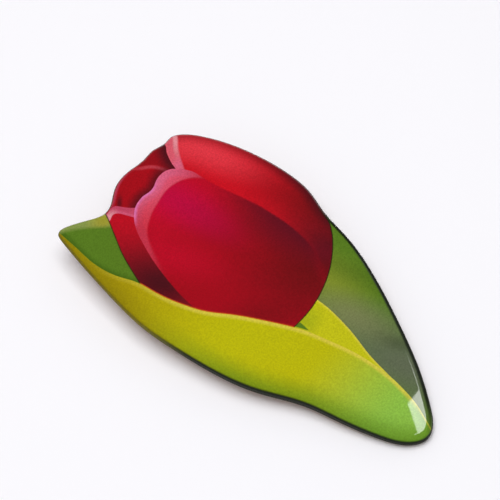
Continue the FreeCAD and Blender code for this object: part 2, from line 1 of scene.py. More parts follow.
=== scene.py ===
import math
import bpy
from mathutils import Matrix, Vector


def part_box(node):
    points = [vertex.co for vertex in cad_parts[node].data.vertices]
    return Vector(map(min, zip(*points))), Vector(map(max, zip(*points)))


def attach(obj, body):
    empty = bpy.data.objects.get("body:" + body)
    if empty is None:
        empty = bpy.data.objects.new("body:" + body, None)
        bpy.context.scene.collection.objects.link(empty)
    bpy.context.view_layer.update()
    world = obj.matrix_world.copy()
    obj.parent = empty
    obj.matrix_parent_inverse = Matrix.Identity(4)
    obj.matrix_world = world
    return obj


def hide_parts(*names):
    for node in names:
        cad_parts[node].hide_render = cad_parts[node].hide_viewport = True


bl_info = {
    "name": "Lacquered tulip brooch",
    "version": (1, 0, 0),
    "blender": (4, 5, 0),
    "location": "View3D > Sidebar > Tulip brooch",
    "description": "Models and paints a wooden tulip brooch over its CAD frame",
    "category": "Object",
}

import bpy
import numpy as np
from bpy.props import FloatProperty, FloatVectorProperty, PointerProperty
from mathutils import Matrix, Vector

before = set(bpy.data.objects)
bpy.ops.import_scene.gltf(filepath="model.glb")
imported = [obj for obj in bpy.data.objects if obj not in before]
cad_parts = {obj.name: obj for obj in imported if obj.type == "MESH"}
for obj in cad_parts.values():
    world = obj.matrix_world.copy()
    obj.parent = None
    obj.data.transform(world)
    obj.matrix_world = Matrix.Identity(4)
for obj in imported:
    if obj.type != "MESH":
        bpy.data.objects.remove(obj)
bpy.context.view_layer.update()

# Everything is in metres, in the part's own frame: +Z out of the painted front, +Y from stem tip to head
MM = 0.001

COAT_LOW, COAT_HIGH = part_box("lacquer_coat")
WOOD_LOW, WOOD_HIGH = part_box("wooden_blank")

# The front's rounding across and along the board, the lacquer's thickness, and the back's rounded edge
CROWN_RADIUS_ACROSS = 350 * MM
CROWN_RADIUS_ALONG = 900 * MM
COAT_THICKNESS = 0.35 * MM
BACK_ROUND = 0.6 * MM

# How finely the skins are divided: places round the outline, and rows from its edge to the middle
OUTLINE_STEPS = 600
CROWN_ROWS = 78
ROUND_ROWS = 9
SIDE_ROWS = 3
INNER_ROWS = 4
# The middle line that the rows close on: its low and high ends in shares of the length, how far it follows
# the outline, and how much it leans
MIDDLE_LINE_SHARES = {"low": -0.40, "high": 0.305, "follow": 0.8, "lean": 0.03}
# How far a row may lie from the edge, over its true inset, where the outline turns sharply
WIDEST_INSET = 1.6
# Spacing of the points on a painted line
LINE_STEP = 0.6 * MM
# Vertices nearer than this are one
MERGE_GAP = 0.001 * MM
# The angles from which an edge is sharp: on the skins, and on the metal for its wear and its shading
SKIN_SHARP_ANGLE = math.radians(40)
WORN_ANGLE = math.radians(35)
METAL_SHARP_ANGLE = math.radians(30)

# Outline of the painted front, clockwise from the widest place of the bloom past the stem tip, the front
# leaf, the leaf tip and the notch, in shares of the board's width and length
OUTLINE_SHARES = (
    (0.500, 0.176), (0.494, 0.125), (0.461, 0.062), (0.439, -0.017), (0.371, -0.147), (0.267, -0.278),
    (0.178, -0.373), (0.071, -0.460), (0.015, -0.491), (-0.038, -0.500), (-0.100, -0.485), (-0.178, -0.419),
    (-0.242, -0.318), (-0.287, -0.238), (-0.384, -0.130), (-0.445, -0.026), (-0.483, 0.088), (-0.500, 0.170),
    (-0.489, 0.295), (-0.469, 0.389), (-0.449, 0.460), (-0.440, 0.486), (-0.432, 0.496), (-0.414, 0.500),
    (-0.399, 0.498), (-0.351, 0.485), (-0.268, 0.459), (-0.210, 0.450), (-0.165, 0.457), (-0.125, 0.471),
    (-0.086, 0.482), (0.005, 0.488), (0.105, 0.483), (0.158, 0.485), (0.227, 0.477), (0.270, 0.478),
    (0.308, 0.467), (0.366, 0.428), (0.427, 0.360), (0.489, 0.235),
)

# The painting is laid on the board a little smaller than its outline, and a little towards the stem
PAINTING_SCALE_SHARE = 0.996
PAINTING_MOVE_SHARE = (-0.003, -0.0035)
# Painted shapes, each a smooth line followed by the corners that close it beyond the board or under the
# shape that lies over it, in shares of the painting's width and length
PAINTED_SHARES = {
    "front_leaf": ((
        (-0.420, 0.530), (-0.427, 0.489), (-0.430, 0.440), (-0.434, 0.390), (-0.425, 0.345), (-0.402, 0.305),
        (-0.370, 0.265), (-0.354, 0.222), (-0.334, 0.178), (-0.306, 0.136), (-0.268, 0.092), (-0.204, 0.042),
        (-0.133, -0.020), (-0.064, -0.086), (-0.034, -0.120), (0.001, -0.176), (0.033, -0.234),
        (0.050, -0.285), (0.057, -0.340), (0.051, -0.389), (0.034, -0.438), (0.010, -0.475),
        (-0.010, -0.520),
    ), (
        (-0.02, -0.60), (-0.70, -0.60), (-0.70, 0.60), (-0.42, 0.60),
    )),
    "middle_leaf": ((
        (0.082, -0.022), (0.109, -0.082), (0.113, -0.116), (0.108, -0.157), (0.096, -0.204), (0.072, -0.263),
        (0.061, -0.315), (0.050, -0.380),
    ), (
        (-0.20, -0.38), (-0.20, -0.02),
    )),
    "leaf_turn": ((
        (-0.440, 0.500), (-0.407, 0.486), (-0.374, 0.474), (-0.340, 0.458), (-0.307, 0.442), (-0.278, 0.426),
        (-0.251, 0.413), (-0.200, 0.390),
    ), (
        (-0.15, 0.60), (-0.45, 0.60),
    )),
    "leaf_gap": ((
        (-0.062, -0.080), (-0.044, -0.090), (-0.022, -0.092),
    ), (
        (-0.025, -0.122),
    )),
    "bloom": ((
        (0.560, 0.150), (0.500, 0.088), (0.456, 0.055), (0.428, 0.029), (0.379, -0.003), (0.329, -0.026),
        (0.265, -0.049), (0.205, -0.065), (0.124, -0.080), (0.051, -0.088), (-0.010, -0.090),
        (-0.090, -0.088), (-0.200, -0.060), (-0.300, 0.020), (-0.362, 0.119), (-0.381, 0.199),
        (-0.364, 0.258), (-0.337, 0.308), (-0.311, 0.347), (-0.289, 0.372), (-0.268, 0.395), (-0.244, 0.421),
        (-0.226, 0.442), (-0.205, 0.475),
    ), (
        (-0.20, 0.60), (0.80, 0.60), (0.80, 0.15),
    )),
    "right_petal": ((
        (0.245, 0.510), (0.228, 0.488), (0.218, 0.471), (0.200, 0.460), (0.184, 0.445), (0.170, 0.427),
        (0.162, 0.410), (0.150, 0.380),
    ), (
        (0.00, 0.20), (0.00, -0.20), (0.80, -0.20), (0.80, 0.60), (0.26, 0.60),
    )),
    "right_lip": ((
        (0.310, 0.500), (0.288, 0.469), (0.253, 0.449), (0.221, 0.425), (0.198, 0.405), (0.183, 0.390),
        (0.170, 0.370),
    ), (
        (0.00, 0.30), (0.00, 0.60), (0.31, 0.60),
    )),
    "back_petal": ((
        (0.030, 0.500), (0.057, 0.480), (0.091, 0.466), (0.117, 0.449), (0.133, 0.430), (0.145, 0.405),
        (0.150, 0.380),
    ), (
        (0.30, 0.38), (0.30, 0.60), (0.03, 0.60),
    )),
    "left_petal": ((
        (-0.240, 0.452), (-0.211, 0.447), (-0.188, 0.451), (-0.168, 0.448), (-0.152, 0.438), (-0.138, 0.425),
        (-0.122, 0.414), (-0.105, 0.404), (-0.080, 0.390),
    ), (
        (0.00, 0.10), (-0.20, -0.10), (-0.70, 0.00), (-0.70, 0.45),
    )),
    "left_lip": ((
        (-0.240, 0.428), (-0.222, 0.430), (-0.207, 0.434), (-0.193, 0.433), (-0.178, 0.425), (-0.165, 0.411),
        (-0.147, 0.390), (-0.130, 0.370),
    ), (
        (-0.05, 0.30), (-0.05, 0.60), (-0.24, 0.60),
    )),
    "front_petal": ((
        (0.330, 0.160), (0.320, 0.200), (0.300, 0.245), (0.270, 0.290), (0.240, 0.330), (0.212, 0.362),
        (0.186, 0.389), (0.157, 0.410), (0.126, 0.421), (0.091, 0.424), (0.055, 0.420), (0.020, 0.412),
        (-0.012, 0.411), (-0.040, 0.414), (-0.070, 0.413), (-0.103, 0.408), (-0.140, 0.394), (-0.176, 0.371),
        (-0.204, 0.340), (-0.228, 0.305), (-0.249, 0.268), (-0.266, 0.227), (-0.281, 0.180), (-0.287, 0.120),
        (-0.270, 0.040),
    ), (
        (-0.20, -0.10), (0.00, -0.20), (0.60, -0.20), (0.60, 0.16),
    )),
    "front_flank": ((
        (0.180, 0.450), (0.198, 0.385), (0.212, 0.335), (0.228, 0.290), (0.252, 0.243), (0.275, 0.195),
        (0.291, 0.140), (0.298, 0.088), (0.294, 0.045), (0.280, 0.006), (0.250, -0.030), (0.210, -0.080),
    ), (
        (0.20, -0.30), (-0.60, -0.30), (-0.60, 0.60), (0.17, 0.60),
    )),
    "front_lip": ((
        (0.240, 0.290), (0.228, 0.322), (0.205, 0.345), (0.179, 0.362), (0.129, 0.379), (0.090, 0.385),
        (0.042, 0.386), (-0.015, 0.379), (-0.073, 0.370), (-0.121, 0.357), (-0.160, 0.342), (-0.190, 0.318),
        (-0.216, 0.285), (-0.240, 0.245), (-0.258, 0.200), (-0.270, 0.150), (-0.270, 0.080),
    ), (
        (-0.20, -0.10), (0.60, -0.20), (0.60, 0.29),
    )),
}


def linear_colour(hex_code):
    """An sRGB hex value such as #b80010 as linear red, green and blue."""
    parts = [int(hex_code[i:i + 2], 16) / 255 for i in (1, 3, 5)]
    return tuple(part / 12.92 if part <= 0.04045 else ((part + 0.055) / 1.055) ** 2.4 for part in parts)


def tint(name, description, hex_code):
    """A colour that a user may change."""
    return FloatVectorProperty(
        name=name, description=description, subtype="COLOR", size=3, min=0, max=1,
        default=linear_colour(hex_code),
    )


def length_property(name, description, default):
    """A length that a user may change."""
    return FloatProperty(name=name, description=description, default=default, min=0, unit="LENGTH")


def power_property(name, description, default):
    """The power of a light, in watts, that a user may change."""
    return FloatProperty(name=name, description=description, default=default, min=0, unit="POWER")


class BroochFormProperties(bpy.types.PropertyGroup):
    edge_swell: length_property("Edge swell", "How far in from the edge the lacquer starts to fall", 1.5 * MM)
    edge_fall: length_property("Edge fall", "How far the lacquer falls to the side wall", 1.1 * MM)
    lip_round: length_property("Lip", "Rounding where the lacquer ends on the side", 0.1 * MM)
    metal_bevel: length_property("Metal bevel", "Worn edges of the pin fitting", 0.05 * MM)


class BroochPaintProperties(bpy.types.PropertyGroup):
    petal_red: tint("Petal red", "Middle of the front petal", "#a00a1a")
    petal_light: tint("Petal light red", "Upper part of the front petal", "#c60a2a")
    petal_magenta: tint("Petal magenta", "Streak down the front petal", "#a8084c")
    petal_deep: tint("Petal deep red", "Lower right of the bloom", "#6a0e12")
    petal_shadow: tint("Petal shadow", "Shade beside the right petal", "#58101e")
    petal_outer: tint("Petal outer", "The right petal", "#c6101f")
    petal_bright: tint("Petal bright", "Lit back of the right petal", "#de3844")
    petal_side: tint("Petal side", "The left petal", "#b80e20")
    petal_inner: tint("Petal inner", "The petals at the back", "#a20c18")
    petal_maroon: tint("Petal maroon", "Dark places of the petals behind", "#4a1018")
    lip_red: tint("Lip red", "Turned edge where it runs down the front petal", "#c03246")
    lip_pink: tint("Lip pink", "Turned edges of the petals", "#d86484")
    lip_lilac: tint("Lip lilac", "The very edge of the front petal", "#de78b4")
    lip_salmon: tint("Lip salmon", "Turned edge of the right petal", "#d65868")
    lip_pale: tint("Lip pale", "Palest places of the turned edges", "#e0989e")
    # The dull lip pink also paints the reflection of the pale room along the rounded top edge by the notch
    dull_lip_and_edge_reflection: tint("Lip dull", "Turned edge of the left petal", "#be4460")
    leaf_yellow: tint("Leaf yellow", "Middle of the front leaf", "#bab60a")
    leaf_olive: tint("Leaf olive", "Left end of the front leaf", "#a89608")
    leaf_lime: tint("Leaf lime", "Front leaf near the stem", "#8cbc46")
    leaf_green: tint("Leaf green", "The leaves at the back", "#56781f")
    leaf_dark: tint("Leaf dark", "Shade beside the front leaf", "#38580f")
    # The leaf grey is partly the painting's own grey shade and partly a painted reflection in the lacquer
    leaf_grey: tint("Leaf grey", "Shaded part of the right leaf", "#5f6850")
    leaf_beige: tint("Leaf beige", "Pale place of the right leaf", "#8a8660")
    leaf_turned: tint("Leaf turned", "Turned edge of the left leaf", "#84944a")
    leaf_middle: tint("Leaf middle", "The leaf below the bloom", "#c0be16")
    leaf_line: tint("Leaf line", "Lit edge of a leaf", "#dac848")
    leaf_low: tint("Leaf low", "Lower rim of the front leaf", "#5c8418")
    leaf_end: tint("Leaf end", "Left end of the front leaf's lower rim", "#6c6006")
    leaf_hairline: tint("Leaf hairline", "Red line between front leaf and bloom", "#c84818")
    rim_dark: tint("Rim", "Dark side of the lacquer", "#161c0e")
    rim_red: tint("Rim red", "Side of the lacquer along the bloom", "#4a0a0e")


class BroochStageProperties(bpy.types.PropertyGroup):
    floor_colour: tint("Floor", "Pale floor", "#fbfafd")
    sky_light: FloatProperty(name="Sky light", description="Even light from all round", default=0.40, min=0)
    window_light: power_property("Window", "Power of the window over the stem tip", 0.9)
    side_light: power_property("Side window", "Power of the low window on the right", 0.25)
    overhead_light: power_property("Overhead", "Power of the panel overhead", 2.6)
    under_light: power_property("Under", "Power of the panel below the table", 2.0)


def plan_points(shares):
    """Shares of the board's width and length as places in metres."""
    return np.array(shares, dtype=float) * BOARD_SIZE


def smooth_line(points, step, closed=False):
    """Evenly spaced points on a smooth curve through a few given ones."""
    knots = np.vstack([points, points[:1]]) if closed else np.array(points)
    chord = np.linalg.norm(np.diff(knots, axis=0), axis=1)
    slope = np.diff(knots, axis=0) / chord[:, None]
    spans = len(chord)
    count = spans if closed else spans + 1
    system = np.eye(count)
    bend = np.zeros((count, 2))
    for i in range(count):
        if not closed and i in (0, spans):
            continue
        before = (i - 1) % spans
        system[i, i] = 2 * (chord[before] + chord[i])
        system[i, (i - 1) % count] = chord[before]
        system[i, (i + 1) % count] = chord[i]
        bend[i] = 6 * (slope[i] - slope[before])
    bend = np.linalg.solve(system, bend)
    if closed:
        bend = np.vstack([bend, bend[:1]])
    reach = np.concatenate([[0], np.cumsum(chord)])
    places = np.linspace(0, reach[-1], max(int(round(reach[-1] / step)), 2) + 1)
    span = np.clip(np.searchsorted(reach, places, side="right") - 1, 0, spans - 1)
    length = chord[span][:, None]
    far = (places - reach[span])[:, None] / length
    near = 1 - far
    curve = near * knots[span] + far * knots[span + 1]
    curve += ((near ** 3 - near) * bend[span] + (far ** 3 - far) * bend[span + 1]) * length ** 2 / 6
    return curve[:-1] if closed else curve


def outline_extent():
    """Width and length of the outline's curve, in shares."""
    fine = smooth_line(np.array(OUTLINE_SHARES), 1 / OUTLINE_STEPS, closed=True)
    return fine.max(axis=0) - fine.min(axis=0)


BOARD_SIZE = np.array((COAT_HIGH - COAT_LOW)[:2]) / outline_extent()


def board_outline():
    """The edge of the painted front from the stem tip round, as an even ring and its outward directions."""
    rough = smooth_line(plan_points(OUTLINE_SHARES), LINE_STEP, closed=True)
    run = np.linalg.norm(np.roll(rough, -1, axis=0) - rough, axis=1).sum()
    ring = smooth_line(rough, run / OUTLINE_STEPS, closed=True)[:OUTLINE_STEPS]
    ring = np.roll(ring, -ring[:, 1].argmin(), axis=0)
    along = np.roll(ring, -1, axis=0) - np.roll(ring, 1, axis=0)
    along /= np.linalg.norm(along, axis=1)[:, None]
    return ring, np.column_stack([-along[:, 1], along[:, 0]])


def middle_line(ring):
    """The places of the middle line that the rows run to, the same for both sides of the board."""
    length = BOARD_SIZE[1]
    low = MIDDLE_LINE_SHARES["low"] * length
    high = MIDDLE_LINE_SHARES["high"] * length
    along = np.clip(ring[:, 1] * MIDDLE_LINE_SHARES["follow"], low, high)
    other_side = -np.arange(len(ring)) % len(ring)
    along = (along + along[other_side]) / 2
    return np.column_stack([along * MIDDLE_LINE_SHARES["lean"], along])


def moved_in(ring, outward, inset):
    """The outline moved in by an inset, towards the middle line."""
    inwards = middle_line(ring) - ring
    inwards /= np.linalg.norm(inwards, axis=1)[:, None]
    facing = -(inwards * outward).sum(axis=1)
    stretch = np.clip(1 / np.maximum(facing, 1 / WIDEST_INSET), 1, WIDEST_INSET)
    return ring + inwards * (inset * stretch)[:, None]


def crown_height(plan):
    """Height of the rounded front over places of the plan."""
    fall = plan[:, 0] ** 2 / CROWN_RADIUS_ACROSS + plan[:, 1] ** 2 / CROWN_RADIUS_ALONG
    return COAT_HIGH.z - fall / 2


def row_at(plan, height):
    """A row of places over the plan, all at one height or each at its own."""
    return np.column_stack([plan, np.broadcast_to(height, len(plan))])


def crown_rows(ring, outward, inset, depth, count):
    """Rows from the middle line to an inset of the edge, at a depth under the front."""
    edge = moved_in(ring, outward, inset)
    middle = middle_line(ring)
    rows = []
    for share in np.linspace(0, 1, count):
        plan = middle + (edge - middle) * share
        rows.append(row_at(plan, crown_height(plan) - depth))
    return rows


def rounding_rows(ring, outward, form, thickness, count):
    """Rows over the rounded edge, from the crown to the side wall."""
    rows = []
    for turn in np.linspace(0, math.pi / 2, count + 1)[1:]:
        inset = thickness + (form.edge_swell - thickness) * (1 - math.sin(turn))
        drop = thickness + (form.edge_fall - thickness) * (1 - math.cos(turn))
        plan = moved_in(ring, outward, inset)
        rows.append(row_at(plan, crown_height(plan) - drop))
    return rows


def side_rows(ring, outward, top, bottom, inset, count):
    """Rows down a side wall from the last row over it to a level."""
    plan = moved_in(ring, outward, inset)
    rows = []
    for share in np.linspace(0, 1, count + 1)[1:]:
        rows.append(row_at(plan, top[:, 2] + (bottom - top[:, 2]) * share))
    return rows


def vertex_places(mesh):
    """The places of a mesh's vertices."""
    places = np.zeros(len(mesh.vertices) * 3)
    mesh.vertices.foreach_get("co", places)
    return places.reshape(-1, 3)


def deselect_all():
    """Leaves object mode with nothing selected."""
    if bpy.context.object and bpy.context.object.mode != "OBJECT":
        bpy.ops.object.mode_set(mode="OBJECT")
    bpy.ops.object.select_all(action="DESELECT")


def rolled_skin(name, rows):
    """A grid rolled into a closed skin through rows of places, its two ends filled."""
    deselect_all()
    steps = len(rows[0])
    bpy.ops.mesh.primitive_grid_add(x_subdivisions=steps, y_subdivisions=len(rows) - 1, size=1)
    skin = bpy.context.object
    skin.name = name
    mesh = skin.data
    places = vertex_places(mesh)
    column = np.rint((places[:, 0] + 0.5) * steps).astype(int) % steps
    row = np.rint((places[:, 1] + 0.5) * (len(rows) - 1)).astype(int)
    mesh.vertices.foreach_set("co", np.array(rows)[row, column].ravel())
    mesh.update()
    bpy.ops.object.mode_set(mode="EDIT")
    bpy.ops.mesh.select_all(action="SELECT")
    bpy.ops.mesh.remove_doubles(threshold=MERGE_GAP)
    bpy.ops.mesh.select_all(action="DESELECT")
    bpy.ops.mesh.select_mode(type="EDGE")
    bpy.ops.mesh.select_non_manifold(extend=False, use_wire=False, use_multi_face=False, use_verts=False)
    bpy.ops.mesh.fill_holes(sides=0)
    bpy.ops.mesh.select_all(action="SELECT")
    bpy.ops.mesh.normals_make_consistent(inside=False)
    bpy.ops.object.mode_set(mode="OBJECT")
    bpy.ops.object.shade_smooth_by_angle(angle=SKIN_SHARP_ANGLE)
    return skin


def signed_distance(places, outline):
    """How far places of the plan lie inside a closed outline. Outside is negative."""
    nearest = np.full(len(places), np.inf)
    inside = np.zeros(len(places), dtype=bool)
    for corner, end in zip(outline, np.roll(outline, -1, axis=0)):
        run = end - corner
        if not run.any():
            continue
        offset = places - corner
        share = np.clip(offset @ run / (run @ run), 0, 1)
        gap = offset - share[:, None] * run
        nearest = np.minimum(nearest, (gap ** 2).sum(axis=1))
        if run[1]:
            crosses = (places[:, 1] < corner[1]) != (places[:, 1] < end[1])
            inside ^= crosses & (places[:, 0] < corner[0] + offset[:, 1] * run[0] / run[1])
    return np.where(inside, 1, -1) * np.sqrt(nearest)


def painting_points(shares):
    """Shares of the painting's width and length as places in metres."""
    return plan_points(np.array(shares) * PAINTING_SCALE_SHARE + PAINTING_MOVE_SHARE)


def painted_outline(name):
    """The closed outline of one painted shape."""
    line, corners = PAINTED_SHARES[name]
    return np.vstack([smooth_line(painting_points(line), LINE_STEP), painting_points(corners)])


def keep_distances(skin):
    """Stores on the skin how far each vertex lies inside every painted shape, and inside the board."""
    mesh = skin.data
    plan = vertex_places(mesh)[:, :2]
    outlines = {name: painted_outline(name) for name in PAINTED_SHARES}
    outlines["board_edge"] = board_outline()[0]
    for name, outline in outlines.items():
        layer = mesh.attributes.new(name=name, type="FLOAT", domain="POINT")
        layer.data.foreach_set("value", signed_distance(plan, outline))


def add_node(tree, kind, inputs=None, **settings):
    """Adds a shader node with its settings, and sets or links its inputs."""
    node = tree.nodes.new("ShaderNode" + kind)
    for name, value in settings.items():
        setattr(node, name, value)
    for key, value in (inputs or {}).items():
        socket = node.inputs[key]
        if isinstance(value, bpy.types.NodeSocket):
            tree.links.new(value, socket)
        elif socket.type == "RGBA" and len(value) == 3:
            socket.default_value = (*value, 1)
        else:
            socket.default_value = value
    return node


def new_material(name):
    """An empty node material."""
    material = bpy.data.materials.new(name)
    material.use_nodes = True
    material.node_tree.nodes.clear()
    return material


def finish_material(tree, inputs):
    """The surface of a material, with its shader's own sockets set."""
    shader = add_node(tree, "BsdfPrincipled", inputs)
    add_node(tree, "OutputMaterial", {"Surface": shader.outputs[0]})


def product(tree, first, *others):
    """Masks and numbers multiplied: where they all hold."""
    total = first
    for other in others:
        total = add_node(tree, "Math", {0: total, 1: other}, operation="MULTIPLY").outputs[0]
    return total


def larger(tree, first, second):
    """Where either of two masks holds."""
    return add_node(tree, "Math", {0: first, 1: second}, operation="MAXIMUM").outputs[0]


def mixed_colour(tree, mask, below, above):
    """One colour over another."""
    return add_node(tree, "Mix", {0: mask, 6: below, 7: above}, data_type="RGBA").outputs[2]


def mixed_value(tree, mask, below, above):
    """One value over another."""
    return add_node(tree, "Mix", {0: mask, 2: below, 3: above}, data_type="FLOAT").outputs[0]


def ramped(tree, value, start, full, low=0, high=1, kind="SMOOTHSTEP"):
    """Runs from low to high, and no further, while a value runs from start to full."""
    node = add_node(
        tree, "MapRange",
        {"Value": value, "From Min": start, "From Max": full, "To Min": low, "To Max": high},
        interpolation_type=kind,
    )
    return node.outputs[0]


def object_coordinates(tree):
    """Places in the part's own frame."""
    return add_node(tree, "TexCoord").outputs["Object"]


# How wide a crisp and a soft edge of the painting are to each side, the lit line along a leaf, and half a
# hairline between shapes
SHARP = 0.07 * MM
SOFT = 0.30 * MM
LIT_LINE = 0.55 * MM
HAIRLINE = 0.12 * MM

# Painted shapes that are masks themselves, with a crisp edge
CRISP_SHAPES = (
    "front_leaf", "middle_leaf", "leaf_gap", "bloom", "back_petal", "right_petal", "left_petal", "left_lip",
    "front_petal",
)
# Masks that rise with the distance inside a painted shape: the shape, and the distances where the mask starts
# and where it is full
RISES = {
    "leaf_shade": ("front_leaf", -1.4 * MM, 0),
    "leaf_turn": ("leaf_turn", -SOFT, 3 * SOFT),
    "middle_leaf_line": ("middle_leaf", LIT_LINE, 0),
    "behind_front_petal": ("front_petal", -2.6 * MM, -0.1 * MM),
    "behind_right_petal": ("right_petal", -3.2 * MM, -0.2 * MM),
    # The band just inside the board's edge where a reflection of the pale room is painted
    "narrow_rim": ("board_edge", 1.1 * MM, 0.6 * MM),
    "petal_rim": ("board_edge", 3.2 * MM, 0.2 * MM),
    "leaf_rim": ("board_edge", 5.5 * MM, 0),
    "right_lip": ("right_lip", -SOFT, SOFT),
    "crisp_flank": ("front_flank", -SOFT, SOFT),
    "melting_flank": ("front_flank", -3 * SOFT, 8 * SOFT),
    "beside_flank": ("front_flank", 3.0 * MM, 0),
    "outside_front_lip": ("front_lip", 2 * SOFT, -3 * SOFT),
    "lip_inner_side": ("front_petal", 2 * LIT_LINE, 4 * LIT_LINE),
    "lip_very_edge": ("front_petal", 1.6 * LIT_LINE, 0),
    "inside_bloom": ("bloom", 0, SHARP),
    "front_leaf_line": ("front_leaf", 2 * LIT_LINE, 0.5 * LIT_LINE),
    "thin_leaf_line": ("front_leaf", 0.8 * LIT_LINE, 0),
    "side_wall": ("board_edge", 0.45 * MM, 0.10 * MM),
    "wide_side": ("board_edge", 1.15 * MM, 0.65 * MM),
}
# Masks that hold between two distances inside a painted shape: the shape, the distances, and their softness
BANDS = {
    "back_petal_crest": ("back_petal", -0.9 * MM, -0.2 * MM, SOFT),
    "right_lip_line": ("right_lip", 0, 0.9 * MM, SOFT),
    "left_lip_line": ("left_lip", 0, LIT_LINE, SHARP),
    "bloom_hairline": ("bloom", -HAIRLINE, HAIRLINE, SHARP),
    "leaf_hairline": ("front_leaf", -2 * HAIRLINE, 0, SHARP),
}
# Masks that rise along the board: along its width (0) or length (1), and the shares where they start and
# where they are full
FADE_SHARES = {
    "left_half": (0, -0.10, -0.20),
    "not_far_left": (0, -0.20, -0.19),
    "right_half": (0, -0.06, 0.10),
    "stem_half": (1, 0.10, 0.02),
    "lower_bloom": (1, 0.40, 0.10),
    "flank_top": (1, -0.05, 0.05),
    "leaf_head_end": (1, -0.02, 0.30),
    "leaf_stem_end": (1, -0.17, -0.42),
    "leaf_rim_middle": (1, 0.25, -0.10),
    "leaf_rim_head_end": (1, 0.00, 0.30),
    "line_below_head": (1, 0.42, 0.05),
    "line_above_stem": (1, -0.46, -0.38),
    "line_at_stem": (1, -0.36, -0.42),
    "side_of_leaves": (1, 0.34, 0.02),
    "side_of_leaf_end": (1, 0.02, 0.34),
    "side_of_bloom": (1, 0.04, 0.16),
}
# Masks that hold where several others do
JOINED = {
    "on_turned_leaf": "left_half leaf_turn",
    "on_middle_leaf": "middle_leaf not_far_left",
    "on_back_petal": "bloom back_petal",
    "on_right_petal": "bloom right_petal",
    "on_right_rim": "on_right_petal petal_rim",
    "on_right_lip": "on_right_petal right_lip",
    "on_left_petal": "bloom left_petal",
    "on_left_lip": "on_left_petal left_lip",
    "on_leaf_rim": "front_leaf leaf_rim",
}
# The turned edge of the front petal: the middle, reach and turn of the spot that bounds it, written as below,
# and how much of that spot makes it full
FRONT_LIP_SPOT_SHARES = ((-0.010, 0.450), (0.34, 0.29), 0)
FRONT_LIP_FULL_SHARE = 0.35
